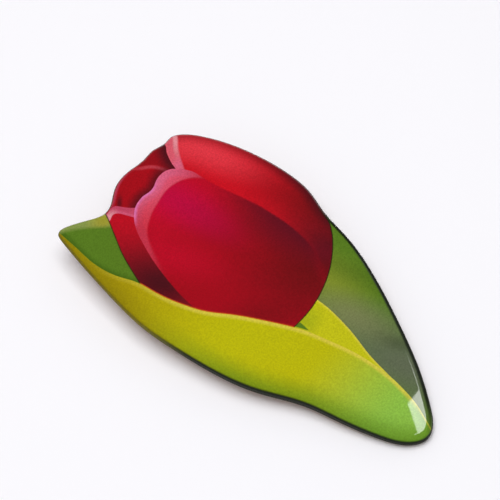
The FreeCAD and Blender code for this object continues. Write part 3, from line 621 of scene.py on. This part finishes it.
# The painting, coat by coat: the colour, its strength and the masks that have to hold. An airbrushed coat has
# its middle in shares of the painting, its reach both ways in shares of the length, and its turn in degrees
COAT_SHARES = (
    # The leaves behind
    ("leaf_line", 0.18, "", (0.215, -0.060), (0.17, 0.10), -75),
    ("leaf_dark", 0.35, "", (0.345, -0.130), (0.26, 0.05), -68),
    # Grey over the lower right leaf: the painting's own grey shade together with a painted reflection in the
    # lacquer
    ("leaf_grey", 1.00, "", (0.150, -0.350), (0.37, 0.16), -72),
    ("leaf_beige", 0.50, "", (0.155, -0.165), (0.17, 0.08), -70),
    ("rim_dark", 0.30, "", (0.205, -0.300), (0.09, 0.03), -65),
    ("leaf_dark", 0.60, "left_half leaf_shade"),
    ("leaf_turned", 1.00, "on_turned_leaf"),
    ("leaf_olive", 0.60, "on_turned_leaf", (-0.245, 0.440), (0.06, 0.05), 0),
    ("leaf_middle", 1.00, "on_middle_leaf"),
    ("leaf_low", 0.35, "on_middle_leaf", (-0.010, -0.100), (0.07, 0.05), 0),
    ("leaf_line", 0.70, "on_middle_leaf middle_leaf_line"),
    ("leaf_green", 1.00, "leaf_gap"),
    # The petals behind
    ("petal_inner", 1.00, "bloom"),
    ("petal_maroon", 0.80, "bloom behind_front_petal"),
    ("petal_inner", 1.00, "on_back_petal"),
    ("petal_maroon", 0.25, "on_back_petal"),
    ("petal_maroon", 0.95, "on_back_petal behind_right_petal"),
    ("lip_salmon", 0.40, "bloom back_petal_crest", (0.095, 0.460), (0.09, 0.06), 0),
    # Dull pink in a narrow band along the rounded top edge by the notch: a painted reflection of the pale
    # room in the lacquer's edge
    ("dull_lip_and_edge_reflection", 0.60, "bloom narrow_rim", (-0.105, 0.474), (0.09, 0.06), 0),
    ("petal_maroon", 0.80, "bloom", (-0.139, 0.445), (0.034, 0.012), 40),
    # The right petal
    ("petal_outer", 1.00, "on_right_petal"),
    ("petal_bright", 0.95, "on_right_petal", (0.320, 0.395), (0.25, 0.075), -72),
    ("petal_bright", 0.50, "on_right_petal", (0.240, 0.450), (0.07, 0.05), -70),
    ("petal_deep", 0.95, "on_right_petal", (0.470, 0.050), (0.30, 0.12), -75),
    ("petal_maroon", 0.85, "on_right_petal", (0.350, -0.010), (0.19, 0.10), -72),
    ("petal_shadow", 0.95, "on_right_petal", (0.265, -0.030), (0.14, 0.08), -60),
    ("petal_deep", 0.95, "on_right_petal", (0.235, -0.060), (0.13, 0.08), -50),
    ("petal_deep", 0.55, "on_right_rim"),
    ("petal_maroon", 0.90, "on_right_rim lower_bloom"),
    ("lip_salmon", 1.00, "on_right_lip"),
    ("lip_pale", 0.80, "on_right_petal right_lip_line", (0.255, 0.470), (0.09, 0.06), 0),
    ("lip_pink", 0.70, "on_right_lip", (0.180, 0.410), (0.04, 0.03), 0),
    # The left petal
    ("petal_side", 1.00, "on_left_petal"),
    ("petal_maroon", 1.00, "on_left_petal", (-0.302, 0.222), (0.29, 0.17), -60),
    ("dull_lip_and_edge_reflection", 1.00, "on_left_lip"),
    ("lip_pink", 0.40, "on_left_lip left_lip_line"),
    ("lip_pale", 0.80, "on_left_lip", (-0.217, 0.436), (0.03, 0.02), 0),
    # The front petal, and the line round the bloom
    ("petal_red", 1.00, "on_front_petal"),
    ("petal_light", 1.00, "on_front_petal", (0.010, 0.385), (0.26, 0.17), -50),
    ("petal_light", 0.55, "on_front_petal", (-0.170, 0.250), (0.20, 0.08), -65),
    ("petal_magenta", 0.42, "on_front_petal", (0.050, 0.325), (0.24, 0.08), -80),
    ("petal_deep", 0.95, "on_front_petal", (0.210, -0.030), (0.27, 0.22), -60),
    ("petal_deep", 0.50, "on_front_petal", (-0.140, -0.010), (0.16, 0.07), -40),
    ("petal_shadow", 0.70, "on_front_petal", (0.260, 0.110), (0.22, 0.085), -82),
    ("petal_shadow", 0.70, "on_front_petal beside_flank", (0.290, 0.080), (0.26, 0.12), -82),
    ("lip_red", 1.00, "on_front_lip"),
    ("lip_pink", 0.95, "on_front_lip", (0.060, 0.425), (0.18, 0.10), 0),
    ("petal_bright", 0.35, "on_front_lip lip_inner_side"),
    ("lip_lilac", 0.90, "on_front_lip lip_very_edge", (-0.020, 0.420), (0.06, 0.05), -30),
    ("lip_lilac", 0.90, "on_front_lip lip_very_edge", (-0.130, 0.405), (0.06, 0.05), -30),
    ("rim_dark", 0.80, "bloom_hairline"),
    # The front leaf
    ("leaf_hairline", 0.80, "leaf_hairline inside_bloom"),
    ("leaf_yellow", 1.00, "front_leaf"),
    ("leaf_olive", 1.00, "front_leaf leaf_head_end"),
    ("leaf_lime", 1.00, "front_leaf leaf_stem_end"),
    ("leaf_low", 0.75, "on_leaf_rim leaf_rim_middle"),
    ("leaf_end", 0.45, "on_leaf_rim leaf_rim_head_end"),
    ("leaf_line", 0.80, "front_leaf front_leaf_line line_above_stem line_below_head"),
    ("leaf_line", 0.70, "front_leaf thin_leaf_line line_at_stem"),
    # The side
    ("rim_dark", 1.00, "side side_of_leaves"),
    ("leaf_end", 0.90, "side side_of_leaf_end"),
    ("rim_red", 1.00, "side bloom side_of_bloom"),
)


def rise(tree, shape, start, full):
    """A mask that rises with the distance inside a painted shape."""
    distance = add_node(tree, "Attribute", attribute_name=shape).outputs["Fac"]
    return ramped(tree, distance, start, full)


def band(tree, shape, start, end, soft):
    """A mask that holds between two distances inside a painted shape."""
    rising = rise(tree, shape, start - soft, start + soft)
    falling = rise(tree, shape, end + soft, end - soft)
    return product(tree, rising, falling)


def fade(tree, axis, start, full):
    """A mask that rises from one share to another along the board's width (0) or length (1)."""
    place = add_node(tree, "SeparateXYZ", {0: object_coordinates(tree)}).outputs[axis]
    return ramped(tree, place, start * BOARD_SIZE[axis], full * BOARD_SIZE[axis])


def spot(tree, middle, reach, turn):
    """An airbrushed spot by its middle, its reach both ways and its turn, as a coat gives them."""
    along, across = np.array(reach) * BOARD_SIZE[1]
    turned = add_node(
        tree, "Mapping",
        {
            "Vector": object_coordinates(tree), "Location": (*painting_points(middle), 0),
            "Rotation": (0, 0, math.radians(turn)), "Scale": (along, across, 1),
        },
        vector_type="TEXTURE",
    )
    ball = add_node(tree, "TexGradient", {"Vector": turned.outputs[0]}, gradient_type="SPHERICAL")
    return ramped(tree, ball.outputs["Fac"], 0, 1)


def front_petal_mask(tree, masks):
    """The front petal. Its right side is crisp at the top, and melts into the shade lower down."""
    flank = mixed_value(tree, masks["flank_top"], masks["melting_flank"], masks["crisp_flank"])
    return product(tree, masks["bloom"], masks["front_petal"], flank)


def front_lip_mask(tree, masks):
    """The turned edge of the front petal, which dies away down its left side."""
    lip = product(
        tree, masks["on_front_petal"], masks["outside_front_lip"], spot(tree, *FRONT_LIP_SPOT_SHARES),
    )
    return ramped(tree, lip, 0, FRONT_LIP_FULL_SHARE)


def side_mask(tree, masks):
    """Where the dark side shows: its wall, and on the right beside the stem a little of the front as well."""
    wide = product(tree, masks["right_half"], masks["stem_half"], masks["wide_side"])
    return larger(tree, masks["side_wall"], wide)


def painting_masks(tree):
    """Every mask of the painting by its name."""
    masks = {shape: rise(tree, shape, -SHARP, SHARP) for shape in CRISP_SHAPES}
    for make, rows in ((rise, RISES), (band, BANDS), (fade, FADE_SHARES)):
        masks.update({name: make(tree, *row) for name, row in rows.items()})
    masks["on_front_petal"] = front_petal_mask(tree, masks)
    masks["on_front_lip"] = front_lip_mask(tree, masks)
    masks["side"] = side_mask(tree, masks)
    for name, parts in JOINED.items():
        masks[name] = product(tree, *(masks[part] for part in parts.split()))
    return masks


def lay_coat(tree, paint, masks, below, coat):
    """One coat of colour over what is painted so far."""
    colour, strength, names, *place = coat
    parts = [masks[name] for name in names.split()]
    if place:
        parts.append(spot(tree, *place))
    return mixed_colour(tree, product(tree, *parts, strength), below, getattr(paint, colour))


# Patterns of the finishes: their sizes along the three axes, the detail of the noise, and the values of the
# noise where the pattern starts and is full
PATTERNS = {
    "airbrush_dots": ((0.35 * MM, 0.35 * MM, 0.35 * MM), 2, 0.3, 0.7),
    "year_rings": ((1.8 * MM, 60 * MM, 6 * MM), 3, 0.35, 0.65),
    "fibres": ((0.15 * MM, 8 * MM, 0.3 * MM), 2, 0.45, 0.75),
    "plate_streaks": ((6 * MM, 0.12 * MM, 0.12 * MM), 2, 0, 1),
    "drawing_lines": ((6 * MM, 0.05 * MM, 0.05 * MM), 2, 0, 1),
    "turning_marks": ((6 * MM, 0.08 * MM, 0.08 * MM), 2, 0, 1),
}
# How much darker and lighter the airbrush's dots are
DOT_CONTRAST = 0.13
# Gloss of the lacquer on the side, where it was rubbed back
SIDE_GLOSS = 0.2
# Light and dark wood between the year rings, its fibres, and how strongly they show
WOOD_DARK = linear_colour("#54381f")
WOOD_LIGHT = linear_colour("#855f3a")
WOOD_FIBRE = linear_colour("#382414")
FIBRE_STRENGTH = 0.6


def pattern(tree, name, low=0, high=1):
    """A noise stretched to real sizes, which runs from low to high."""
    sizes, detail, start, full = PATTERNS[name]
    scale = tuple(1 / size for size in sizes)
    stretched = add_node(tree, "Mapping", {"Vector": object_coordinates(tree), "Scale": scale})
    vector = stretched.outputs[0]
    noise = add_node(tree, "TexNoise", {"Vector": vector, "Scale": 1, "Detail": detail})
    return ramped(tree, noise.outputs[0], start, full, low, high, "LINEAR")


def lacquered_paint(paint):
    """Airbrushed acrylic under many coats of clear lacquer: deep colours and a wet, even gloss."""
    material = new_material("airbrushed_acrylic_under_clear_lacquer")
    tree = material.node_tree
    masks = painting_masks(tree)
    colour = paint.leaf_green
    for coat in COAT_SHARES:
        colour = lay_coat(tree, paint, masks, colour, coat)
    dots = pattern(tree, "airbrush_dots", 1 - DOT_CONTRAST, 1 + DOT_CONTRAST)
    dotted = add_node(tree, "VectorMath", {0: colour, 1: dots}, operation="MULTIPLY")
    gloss = ramped(tree, masks["side"], 0, 1, 1, SIDE_GLOSS, "LINEAR")
    finish_material(
        tree,
        {
            "Base Color": dotted.outputs[0], "Roughness": 0.6, "Specular IOR Level": 0.0, "IOR": 1.5,
            "Coat Weight": gloss, "Coat Roughness": 0.02, "Coat IOR": 1.5,
        },
    )
    return material


def varnished_wood():
    """Sanded limewood, stained walnut and varnished once: faint straight grain and a soft sheen."""
    material = new_material("stained_limewood_varnished")
    tree = material.node_tree
    rings = mixed_colour(tree, pattern(tree, "year_rings"), WOOD_DARK, WOOD_LIGHT)
    fibres = product(tree, pattern(tree, "fibres"), FIBRE_STRENGTH)
    finish_material(
        tree,
        {
            "Base Color": mixed_colour(tree, fibres, rings, WOOD_FIBRE), "Roughness": 0.42, "IOR": 1.5,
            "Coat Weight": 0.3, "Coat Roughness": 0.25,
        },
    )
    return material


def metal(name, colour, roughness, spread, marks):
    """A metal whose finish shows as faint streaks along the strip."""
    material = new_material(name)
    tree = material.node_tree
    streaks = pattern(tree, marks, roughness - spread, roughness + spread)
    finish_material(tree, {"Base Color": linear_colour(colour), "Metallic": 1.0, "Roughness": streaks})
    return material


def nickel_plate():
    """Stamped steel under bright nickel: warm grey, with an even soft mirror."""
    return metal("stamped_steel_nickel_plated", "#cfcac0", roughness=0.20, spread=0.06, marks="plate_streaks")


def drawn_wire():
    """Hard steel wire as drawn: colder grey, with fine lines along it."""
    return metal("drawn_steel_wire", "#c4c4c6", roughness=0.26, spread=0.08, marks="drawing_lines")


def turned_brass():
    """Brass screws as turned: yellow and a little dull."""
    return metal("turned_brass", "#c9a45c", roughness=0.30, spread=0.08, marks="turning_marks")


def put_on(piece, material, cad_node, body):
    """Gives a piece its material and its body, in place of its CAD node."""
    piece.data.materials.clear()
    piece.data.materials.append(material)
    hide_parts(cad_node)
    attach(piece, body)


def finished_copy(cad_node, name, bevel):
    """A copy of a CAD piece with its facets merged, its sharp edges worn and its curves smooth."""
    deselect_all()
    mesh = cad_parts[cad_node].data.copy()
    piece = bpy.data.objects.new(name, mesh)
    mesh.name = name
    bpy.context.scene.collection.objects.link(piece)
    bpy.context.view_layer.objects.active = piece
    piece.select_set(True)
    bpy.ops.object.mode_set(mode="EDIT")
    bpy.ops.mesh.select_all(action="SELECT")
    bpy.ops.mesh.remove_doubles(threshold=MERGE_GAP)
    bpy.ops.mesh.customdata_custom_splitnormals_clear()
    bpy.ops.object.mode_set(mode="OBJECT")
    worn = piece.modifiers.new("worn edges", "BEVEL")
    worn.width = bevel
    worn.segments = 2
    worn.limit_method = "ANGLE"
    worn.angle_limit = WORN_ANGLE
    bpy.ops.object.modifier_apply(modifier=worn.name)
    bpy.ops.object.shade_smooth_by_angle(angle=METAL_SHARP_ANGLE)
    return piece


class BROOCH_OT_lacquered_front(bpy.types.Operator):
    """Models the lacquered skin over the board and paints the tulip on it"""

    bl_idname = "brooch.lacquered_front"
    bl_label = "Lacquered front"

    def execute(self, context):
        form = context.scene.brooch_form
        ring, outward = board_outline()
        rows = crown_rows(ring, outward, form.edge_swell, 0, CROWN_ROWS)
        rows += rounding_rows(ring, outward, form, 0, ROUND_ROWS)
        rows += side_rows(ring, outward, rows[-1], COAT_LOW.z + form.lip_round, 0, SIDE_ROWS)
        for inset in (form.lip_round, COAT_THICKNESS):
            rows.append(row_at(moved_in(ring, outward, inset), COAT_LOW.z))
        inner = crown_rows(ring, outward, form.edge_swell, COAT_THICKNESS, INNER_ROWS)
        inner += rounding_rows(ring, outward, form, COAT_THICKNESS, INNER_ROWS)
        rows += inner[::-1]
        skin = rolled_skin("painted_lacquer_skin", rows)
        keep_distances(skin)
        put_on(skin, lacquered_paint(context.scene.brooch_paint), "lacquer_coat", "brooch")
        return {"FINISHED"}


class BROOCH_OT_wooden_back(bpy.types.Operator):
    """Models the sanded board that the lacquer lies on, with its bare back"""

    bl_idname = "brooch.wooden_back"
    bl_label = "Wooden back"

    def execute(self, context):
        form = context.scene.brooch_form
        ring, outward = board_outline()
        rows = rounding_rows(ring, outward, form, COAT_THICKNESS, ROUND_ROWS)
        rows += side_rows(ring, outward, rows[-1], WOOD_LOW.z + BACK_ROUND, COAT_THICKNESS, SIDE_ROWS)
        for turn in np.linspace(0, math.pi / 2, ROUND_ROWS)[1:]:
            plan = moved_in(ring, outward, COAT_THICKNESS + BACK_ROUND * (1 - math.cos(turn)))
            height = WOOD_LOW.z + BACK_ROUND * (1 - math.sin(turn))
            rows.append(row_at(plan, height))
        board = rolled_skin("sanded_board", rows)
        put_on(board, varnished_wood(), "wooden_blank", "brooch")
        return {"FINISHED"}


class BROOCH_OT_pin_fitting(bpy.types.Operator):
    """Finishes the strip, the hinge, the pin and the catch"""

    bl_idname = "brooch.pin_fitting"
    bl_label = "Pin fitting"

    def execute(self, context):
        bevel = context.scene.brooch_form.metal_bevel
        nickel = nickel_plate()
        wire = drawn_wire()
        for cad_node, name, material, body, slot in (
            ("base_bar", "stamped_strip", nickel, "brooch", "plated_steel"),
            ("hinge_bracket", "folded_hinge", nickel, "brooch", "plated_steel"),
            ("hinge_rivet", "headed_rivet", wire, "brooch", "rivet_steel"),
            ("catch_housing", "catch_ring", nickel, "brooch", "plated_steel"),
            ("catch_rotor", "catch_sleeve", nickel, "rotor", "plated_steel"),
            ("pin_stem", "ground_pin", wire, "pin", "pin_wire"),
        ):
            put_on(finished_copy(cad_node, name, bevel), material, cad_node, body)
        return {"FINISHED"}


class BROOCH_OT_screws(bpy.types.Operator):
    """Finishes the two screws that hold the strip"""

    bl_idname = "brooch.screws"
    bl_label = "Screws"

    def execute(self, context):
        brass = turned_brass()
        bevel = context.scene.brooch_form.metal_bevel
        for side in ("hinge_end", "catch_end"):
            screw = finished_copy(f"{side}_screw", f"{side}_brass_screw", bevel)
            put_on(screw, brass, f"{side}_screw", "brooch")
        return {"FINISHED"}


# The camera of the photograph: where it stands round the object, how wide its frame is at the object, how
# far it is over that width, and the place of the plan and the height that it looks at
CAMERA_AZIMUTH = -47.2
CAMERA_ELEVATION = 65.0
FRAME_WIDTH = 102.2 * MM
DISTANCE_RATIO = 4.2
AIM = Vector((4.41 * MM, 10.74 * MM, 6.55 * MM))
SENSOR = 36.0
CLIP_START = 10 * MM

# The table's side, and how far from its middle it starts to go over into the backdrop and has gone over
FLOOR_SIZE = 2.0
BACKDROP_START = FLOOR_SIZE / 16
BACKDROP_FULL = FLOOR_SIZE / 5
# What the gloss mirrors of the room: its light at the horizon and overhead, and the height where it is dark
HORIZON_LIGHT = 0.5
ZENITH_LIGHT = 0.06
DARK_HEIGHT = 0.20
# The window that the stem tip mirrors: the place that mirrors its upper left corner, from there the direction
# of the corner, and the directions of its upper edge and its left edge
STEM_TIP = Vector((0.4 * MM, -35.5 * MM, 7.9 * MM))
WINDOW_CORNER = Vector((0.314, 0.113, 0.943))
WINDOW_ACROSS = Vector((0.9234, 0.1117, 0.3671))
WINDOW_DOWN = Vector((-0.2754, -0.4734, 0.8367))
# Its distance, width and height
WINDOW_SIZE = (0.725, 0.17, 0.18)
# The other panels, which face the brooch: each one's direction from it, its distance and its two sides
SIDE_PANEL = (Vector((0.92, -0.12, 0.37)), 0.7, 0.12, 0.30)
OVERHEAD_PANEL = (Vector((-0.03, 0.12, 1)), 0.6, 0.40, 0.40)
UNDER_PANEL = (Vector((0, 0, -1)), 0.5, 0.6, 0.6)
ACROSS = Vector((1, 0, 0))


def resting_plane():
    """The table: it touches the lowest place of the catch and the underside of the stem tip."""
    catch_low, catch_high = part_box("catch_housing")
    lowest = min(catch_low.z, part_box("catch_rotor")[0].z)
    low = Vector((0, (catch_low.y + catch_high.y) / 2, lowest))
    tip = Vector((0, COAT_LOW.y + BACK_ROUND + COAT_THICKNESS, WOOD_LOW.z))
    return low, math.atan2(tip.z - low.z, low.y - tip.y)


def mixed_shader(tree, mask, below, above):
    """One surface over another."""
    return add_node(tree, "MixShader", {0: mask, 1: below, 2: above}).outputs[0]


def floor_material(stage):
    """Pale matt table. From below it isn't there, so that the back of the brooch can be seen."""
    material = new_material("matt_white_table")
    tree = material.node_tree
    colour = tuple(stage.floor_colour)
    matt = add_node(tree, "BsdfDiffuse", {"Color": colour}).outputs[0]
    white = add_node(tree, "Emission", {"Color": colour, "Strength": 1.0}).outputs[0]
    clear = add_node(tree, "BsdfTransparent").outputs[0]
    ray = add_node(tree, "LightPath").outputs
    behind = add_node(tree, "NewGeometry").outputs["Backfacing"]
    inputs = {0: ray["Transparent Depth"], 1: 0.5}
    passed = add_node(tree, "Math", inputs, operation="GREATER_THAN").outputs[0]
    through = larger(tree, larger(tree, behind, passed), ray["Is Shadow Ray"])
    # Far from the object the table goes over into the white backdrop, for the camera alone
    far = add_node(tree, "VectorMath", {0: object_coordinates(tree)}, operation="LENGTH")
    backdrop = ramped(tree, far.outputs["Value"], BACKDROP_START, BACKDROP_FULL)
    table = mixed_shader(tree, product(tree, backdrop, ray["Is Camera Ray"]), matt, white)
    shown = mixed_shader(tree, through, table, clear)
    add_node(tree, "OutputMaterial", {"Surface": shown})
    return material


def lay_floor(stage):
    """The table under the brooch."""
    low, tilt = resting_plane()
    deselect_all()
    bpy.ops.mesh.primitive_plane_add(size=FLOOR_SIZE, location=low, rotation=(-tilt, 0, 0))
    floor = bpy.context.object
    floor.name = "white_table"
    floor.data.materials.append(floor_material(stage))


def hang_panel(name, middle, across, upwards, sides, power, mirrored):
    """A soft panel along two directions at right angles, either mirrored in the gloss or lighting."""
    deselect_all()
    bpy.ops.object.light_add(type="AREA", location=middle)
    panel = bpy.context.object
    panel.name = name
    panel.rotation_euler = Matrix((across, upwards, across.cross(upwards))).transposed().to_euler()
    panel.data.shape = "RECTANGLE"
    panel.data.size, panel.data.size_y = sides
    panel.data.energy = power
    panel.visible_glossy = mirrored
    panel.visible_diffuse = not mirrored


def hang_facing_panel(name, place, power, mirrored):
    """A panel that faces the brooch."""
    direction, distance, *sides = place
    facing = direction.normalized()
    across = (ACROSS - ACROSS.dot(facing) * facing).normalized()
    hang_panel(name, AIM + facing * distance, across, facing.cross(across), sides, power, mirrored)


def hang_window(power):
    """The window seen at a slant, whose corner the stem tip mirrors."""
    distance, width, height = WINDOW_SIZE
    across = WINDOW_ACROSS.normalized()
    down = (WINDOW_DOWN - WINDOW_DOWN.dot(across) * across).normalized()
    middle = STEM_TIP + WINDOW_CORNER.normalized() * distance + (across * width + down * height) / 2
    hang_panel("window", middle, across, -down, (width, height), power, True)


def light_room(stage):
    """Even light from all round. What is seen and mirrored is white low down and dark overhead."""
    world = bpy.data.worlds.new("studio")
    bpy.context.scene.world = world
    world.use_nodes = True
    tree = world.node_tree
    tree.nodes.clear()
    ray = add_node(tree, "LightPath").outputs
    direction = add_node(tree, "TexCoord").outputs["Generated"]
    height = add_node(tree, "SeparateXYZ", {0: direction}).outputs["Z"]
    dark = ramped(tree, height, 0, DARK_HEIGHT, HORIZON_LIGHT, ZENITH_LIGHT)
    mirrored = larger(tree, ray["Is Glossy Ray"], ray["Is Transmission Ray"])
    light = mixed_value(tree, mirrored, stage.sky_light, dark)
    strength = mixed_value(tree, ray["Is Camera Ray"], light, 1.0)
    sky = add_node(tree, "Background", {"Color": tuple(stage.floor_colour), "Strength": strength})
    add_node(tree, "OutputWorld", {"Surface": sky.outputs[0]})


def set_camera():
    """The photograph's own view."""
    turn = math.radians(CAMERA_AZIMUTH)
    lift = math.radians(CAMERA_ELEVATION)
    back = Vector((math.sin(turn) * math.cos(lift), -math.cos(turn) * math.cos(lift), math.sin(lift)))
    deselect_all()
    bpy.ops.object.camera_add(location=AIM + back * FRAME_WIDTH * DISTANCE_RATIO)
    camera = bpy.context.object
    camera.rotation_euler = (-back).to_track_quat("-Z", "Y").to_euler()
    camera.data.sensor_width = SENSOR
    camera.data.lens = SENSOR * DISTANCE_RATIO
    camera.data.clip_start = CLIP_START
    bpy.context.scene.camera = camera


class BROOCH_OT_stage(bpy.types.Operator):
    """Sets the table, the lights, the room and the camera"""

    bl_idname = "brooch.stage"
    bl_label = "Stage"

    def execute(self, context):
        stage = context.scene.brooch_stage
        lay_floor(stage)
        hang_window(stage.window_light)
        hang_facing_panel("side_window", SIDE_PANEL, stage.side_light, True)
        hang_facing_panel("overhead", OVERHEAD_PANEL, stage.overhead_light, False)
        hang_facing_panel("under", UNDER_PANEL, stage.under_light, False)
        light_room(stage)
        set_camera()
        context.scene.view_settings.view_transform = "Standard"
        return {"FINISHED"}


class BROOCH_PT_sidebar(bpy.types.Panel):
    """Lists the settings and the pieces"""

    bl_label = "Tulip brooch"
    bl_idname = "BROOCH_PT_sidebar"
    bl_space_type = "VIEW_3D"
    bl_region_type = "UI"
    bl_category = "Tulip brooch"

    def draw(self, context):
        scene = context.scene
        for group in (scene.brooch_form, scene.brooch_paint, scene.brooch_stage):
            box = self.layout.box()
            for name in group.__annotations__:
                box.prop(group, name)
        for operator in OPERATORS:
            self.layout.operator(operator.bl_idname)


OPERATORS = (
    BROOCH_OT_lacquered_front, BROOCH_OT_wooden_back, BROOCH_OT_pin_fitting, BROOCH_OT_screws,
    BROOCH_OT_stage,
)
CLASSES = (
    BroochFormProperties, BroochPaintProperties, BroochStageProperties, *OPERATORS, BROOCH_PT_sidebar,
)


def register():
    for item in CLASSES:
        bpy.utils.register_class(item)
    bpy.types.Scene.brooch_form = PointerProperty(type=BroochFormProperties)
    bpy.types.Scene.brooch_paint = PointerProperty(type=BroochPaintProperties)
    bpy.types.Scene.brooch_stage = PointerProperty(type=BroochStageProperties)


def unregister():
    del bpy.types.Scene.brooch_stage
    del bpy.types.Scene.brooch_paint
    del bpy.types.Scene.brooch_form
    for item in reversed(CLASSES):
        bpy.utils.unregister_class(item)


def main():
    """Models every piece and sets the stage."""
    register()
    bpy.ops.brooch.lacquered_front()
    bpy.ops.brooch.wooden_back()
    bpy.ops.brooch.pin_fitting()
    bpy.ops.brooch.screws()
    bpy.ops.brooch.stage()


if __name__ == "__main__":
    main()
